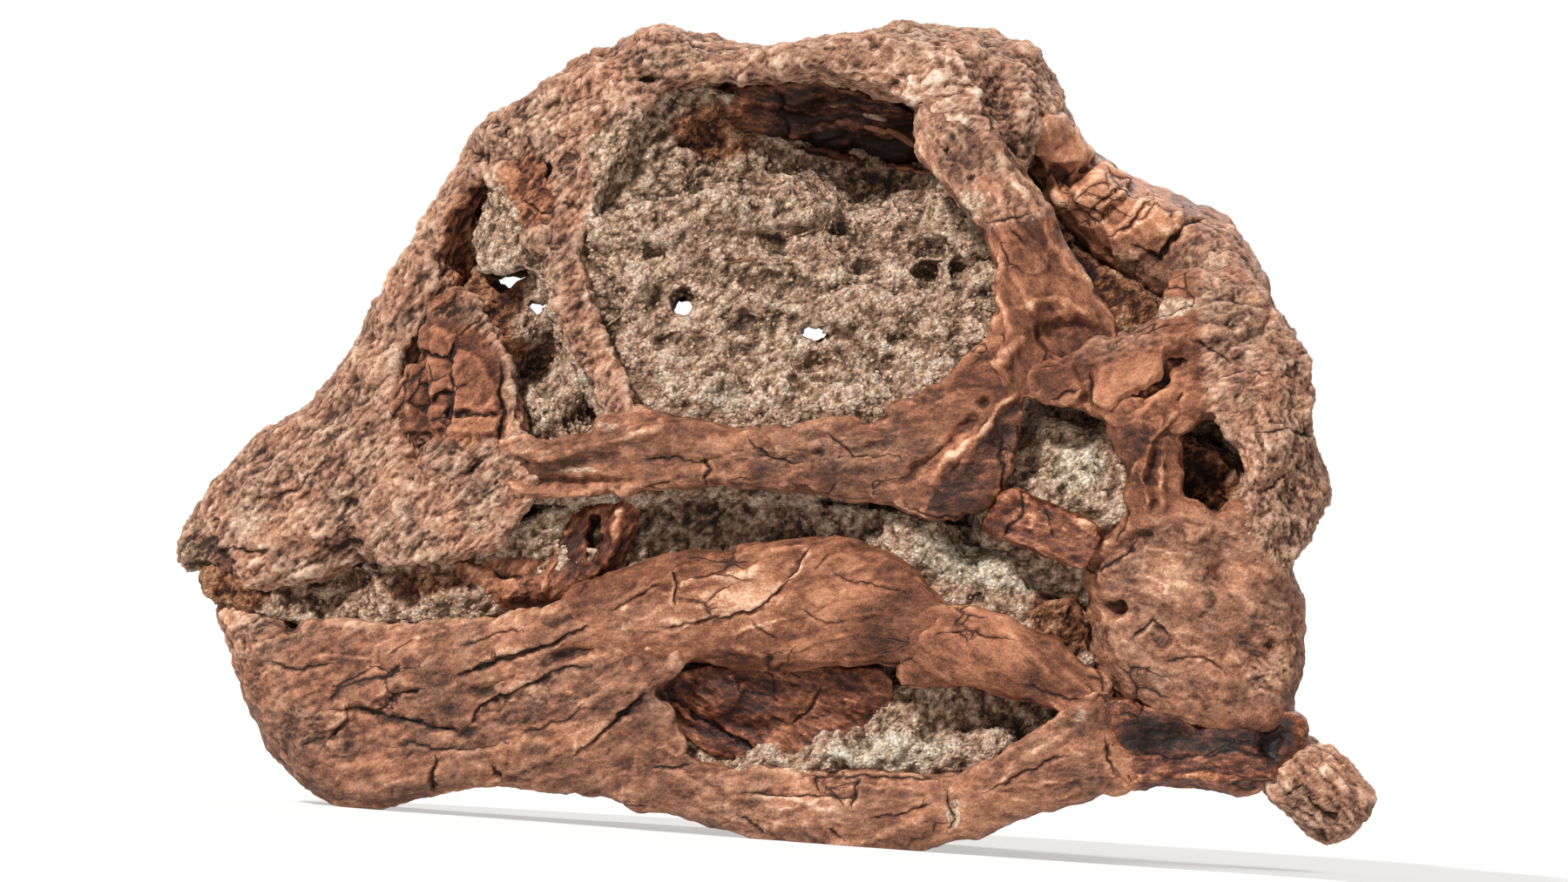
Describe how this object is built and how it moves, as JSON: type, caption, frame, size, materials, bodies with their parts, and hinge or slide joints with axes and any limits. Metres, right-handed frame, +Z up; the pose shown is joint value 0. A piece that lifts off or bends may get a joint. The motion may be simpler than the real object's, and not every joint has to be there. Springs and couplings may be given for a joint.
{
  "type": "dinosaur skull fossil",
  "caption": "Life-size museum model of a small oviraptorid dinosaur's skull and lower jaw, its openings still filled with sandstone, standing on the jaw's lower edge.",
  "frame": {"origin": "middle of the model's bounding box at the level of the surface it stands on", "axes": "+X from the beak tip to the back of the skull, +Y to the skull's right side, +Z up; the left side, -Y, is the side to look at"},
  "size_m": [0.1386, 0.0574, 0.0944],
  "materials": {
    "fossil_bone": "smooth worn fossil bone, reddish brown, with a faint gloss and fine cracks",
    "rough_fossil_bone": "rough fossil bone with sand grains left on it, matt",
    "dark_fossil_bone": "thin dark red-brown bone, half glossy from consolidant",
    "sandstone": "loosely bound fine sandstone, grey-beige, grainy and matt"
  },
  "bodies": {
    "root": {"angular_left": "fossil_bone", "angular_right": "fossil_bone", "articular_left": "dark_fossil_bone", "articular_right": "dark_fossil_bone", "braincase": "rough_fossil_bone", "dentary": "fossil_bone", "frontal": "rough_fossil_bone", "jugal_left": "fossil_bone", "jugal_right": "fossil_bone", "lacrimal_left": "rough_fossil_bone", "lacrimal_right": "rough_fossil_bone", "maxilla_left": "fossil_bone", "maxilla_right": "fossil_bone", "nasal": "rough_fossil_bone", "orbit_roof": "dark_fossil_bone", "parietal": "fossil_bone", "paroccipital_left": "rough_fossil_bone", "paroccipital_right": "rough_fossil_bone", "postorbital_left": "fossil_bone", "postorbital_right": "fossil_bone", "prearticular_left": "dark_fossil_bone", "prearticular_right": "dark_fossil_bone", "premaxilla": "rough_fossil_bone", "pterygoid_left": "dark_fossil_bone", "pterygoid_right": "dark_fossil_bone", "quadrate_left": "rough_fossil_bone", "quadrate_right": "rough_fossil_bone", "quadratojugal_left": "dark_fossil_bone", "quadratojugal_right": "dark_fossil_bone", "retroarticular_left": "rough_fossil_bone", "retroarticular_right": "rough_fossil_bone", "sandstone_cheek": "sandstone", "sandstone_jaw": "sandstone", "sandstone_mouth": "sandstone", "sandstone_orbit": "sandstone", "sandstone_snout": "sandstone", "squamosal_left": "rough_fossil_bone", "squamosal_right": "rough_fossil_bone", "surangular_front_left": "fossil_bone", "surangular_front_right": "fossil_bone", "surangular_rear_left": "fossil_bone", "surangular_rear_right": "fossil_bone"}
  },
  "joints": []
}
